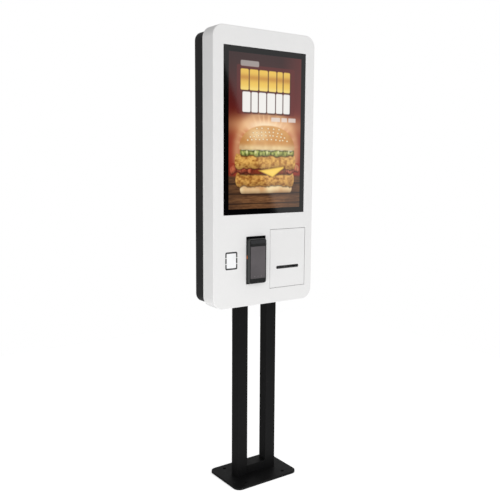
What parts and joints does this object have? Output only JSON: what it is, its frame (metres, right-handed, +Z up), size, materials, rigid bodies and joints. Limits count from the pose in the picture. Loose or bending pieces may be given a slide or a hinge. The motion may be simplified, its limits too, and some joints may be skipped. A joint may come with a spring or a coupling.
{
  "type": "touchscreen kiosk",
  "caption": "Floor-standing self-service kiosk: portrait touchscreen, code reader, payment terminal and ticket printer in a shallow case on two columns and a flat base.",
  "frame": {"origin": "on the floor, at the middle of the underside of the base plate", "axes": "+X to the right as a visitor faces the screen, -Y towards the visitor, +Z up"},
  "size_m": [0.496, 0.222, 1.855],
  "materials": {
    "white_paint": "satin powder coat",
    "black_paint": "fine textured powder coat",
    "zinc_steel": "bright zinc",
    "chrome": "polished",
    "screen_glass": "toughened glass, black printed behind, lit picture",
    "milk_window": "milky window",
    "rubber": "matt",
    "aluminium": "satin",
    "circuit_board": "solder mask",
    "black_plastic": "fine texture",
    "terminal_glass": "unlit display",
    "grey_plastic": "fine texture",
    "orange_plastic": "satin",
    "ivory_plastic": "acetal",
    "brass": "machined",
    "blade_steel": "ground",
    "blue_plastic": "satin",
    "green_plastic": "satin",
    "red_plastic": "gloss",
    "paper": "thermal paper"
  },
  "bodies": {
    "kiosk": {"base_plate": "black_paint", "column_left": "black_paint", "column_right": "black_paint", "foot_crossbar": "black_paint", "column_bolts": "zinc_steel", "front_cover": "white_paint", "rear_housing": "black_paint", "equipment_plate": "zinc_steel", "plate_spacers": "zinc_steel", "case_screws": "zinc_steel", "service_hinge_leaves": "black_paint", "service_hinge_pins": "zinc_steel", "touch_glass": "screen_glass", "display_gasket": "rubber", "lcd_panel": "aluminium", "lcd_crossbars": "zinc_steel", "display_board": "circuit_board", "reader_window": "milk_window", "reader_outline": "black_plastic", "reader_module": "black_plastic", "reader_bracket": "zinc_steel", "terminal_cradle": "black_paint", "cradle_screws": "zinc_steel", "terminal_mount": "zinc_steel", "terminal_body": "black_plastic", "terminal_display": "terminal_glass", "terminal_reader_pad": "grey_plastic", "door_pivot_pins": "zinc_steel", "latch_body": "black_plastic", "printer_frame": "zinc_steel", "platen_bushes": "brass", "feed_motor": "black_plastic", "paper_spindle": "zinc_steel", "main_board": "circuit_board", "heat_sink": "aluminium", "power_supply": "aluminium", "speakers": "black_plastic", "fan_frame": "black_plastic", "fan_guard": "zinc_steel", "power_inlet": "black_plastic", "cable_grommet": "rubber"},
    "service_door": {"service_door": "black_paint", "lock_barrel": "chrome"},
    "lock_cam": {"lock_cam": "chrome"},
    "printer_door": {"printer_door": "white_paint", "slot_bezel": "black_plastic"},
    "latch_plunger": {"latch_plunger": "chrome"},
    "terminal_side_key": {"terminal_side_key": "orange_plastic"},
    "platen": {"platen_roller": "rubber", "platen_gear": "ivory_plastic"},
    "idler_gear": {"idler_gear": "ivory_plastic"},
    "motor_pinion": {"motor_pinion": "brass"},
    "thermal_head": {"thermal_head": "aluminium"},
    "head_lever": {"head_lever": "blue_plastic"},
    "cutter_blade": {"cutter_blade": "blade_steel"},
    "paper_roll": {"paper_roll": "paper"},
    "feed_button": {"feed_button": "green_plastic"},
    "fan_rotor": {"fan_rotor": "black_plastic"},
    "power_rocker": {"power_rocker": "red_plastic"}
  },
  "joints": [
    {"name": "service_door_hinge", "type": "hinge", "parent": "kiosk", "child": "service_door", "pos_m": [-0.2053, 0.085, 1.285], "axis": [0, 0, 1], "range_deg": [0, 110]},
    {"name": "lock_turn", "type": "hinge", "parent": "service_door", "child": "lock_cam", "pos_m": [0.176, 0.079, 1.285], "axis": [0, -1, 0], "range_deg": [0, 90]},
    {"name": "printer_door_hinge", "type": "hinge", "parent": "kiosk", "child": "printer_door", "pos_m": [0.1975, -0.068, 0.944], "axis": [0, 0, 1], "range_deg": [0, 110]},
    {"name": "latch_push", "type": "slide", "parent": "kiosk", "child": "latch_plunger", "axis": [0, 1, 0], "range_m": [0, 0.004], "stiffness_N_per_m": 400, "springref_m": -0.002},
    {"name": "side_key_press", "type": "slide", "parent": "kiosk", "child": "terminal_side_key", "axis": [1, 0, 0], "range_m": [0, 0.0012], "stiffness_N_per_m": 800, "springref_m": -0.0005},
    {"name": "platen_spin", "type": "hinge", "parent": "kiosk", "child": "platen", "pos_m": [0.1185, -0.042, 0.8981], "axis": [1, 0, 0], "continuous": true},
    {"name": "idler_spin", "type": "hinge", "parent": "kiosk", "child": "idler_gear", "pos_m": [0.1185, -0.0156, 0.8981], "axis": [1, 0, 0], "continuous": true},
    {"name": "pinion_spin", "type": "hinge", "parent": "kiosk", "child": "motor_pinion", "pos_m": [0.1185, 0.0036, 0.8981], "axis": [1, 0, 0], "continuous": true},
    {"name": "roll_spin", "type": "hinge", "parent": "kiosk", "child": "paper_roll", "pos_m": [0.1185, -0.019, 0.9685], "axis": [1, 0, 0], "continuous": true},
    {"name": "head_lever_turn", "type": "hinge", "parent": "kiosk", "child": "head_lever", "pos_m": [0.1975, -0.031, 0.9405], "axis": [1, 0, 0], "range_deg": [0, 50]},
    {"name": "head_lift", "type": "hinge", "parent": "kiosk", "child": "thermal_head", "pos_m": [0.1185, -0.025, 0.9185], "axis": [-1, 0, 0], "range_deg": [0, 5]},
    {"name": "cutter_stroke", "type": "slide", "parent": "kiosk", "child": "cutter_blade", "axis": [0, 0, -1], "range_m": [0, 0.008]},
    {"name": "feed_button_press", "type": "slide", "parent": "kiosk", "child": "feed_button", "axis": [0, 1, 0], "range_m": [0, 0.002], "stiffness_N_per_m": 500, "springref_m": -0.001},
    {"name": "fan_spin", "type": "hinge", "parent": "kiosk", "child": "fan_rotor", "pos_m": [0, 0.059, 1.725], "axis": [0, 1, 0], "continuous": true},
    {"name": "rocker_tilt", "type": "hinge", "parent": "kiosk", "child": "power_rocker", "pos_m": [0.181, 0.055, 0.773], "axis": [-1, 0, 0], "range_deg": [0, 18]}
  ],
  "couplings": [
    {"joint": "idler_spin", "follows": "platen_spin", "ratio": -0.83333},
    {"joint": "pinion_spin", "follows": "platen_spin", "ratio": 2.5},
    {"joint": "roll_spin", "follows": "platen_spin", "ratio": -0.22857},
    {"joint": "head_lift", "follows": "head_lever_turn", "ratio": 0.1}
  ]
}
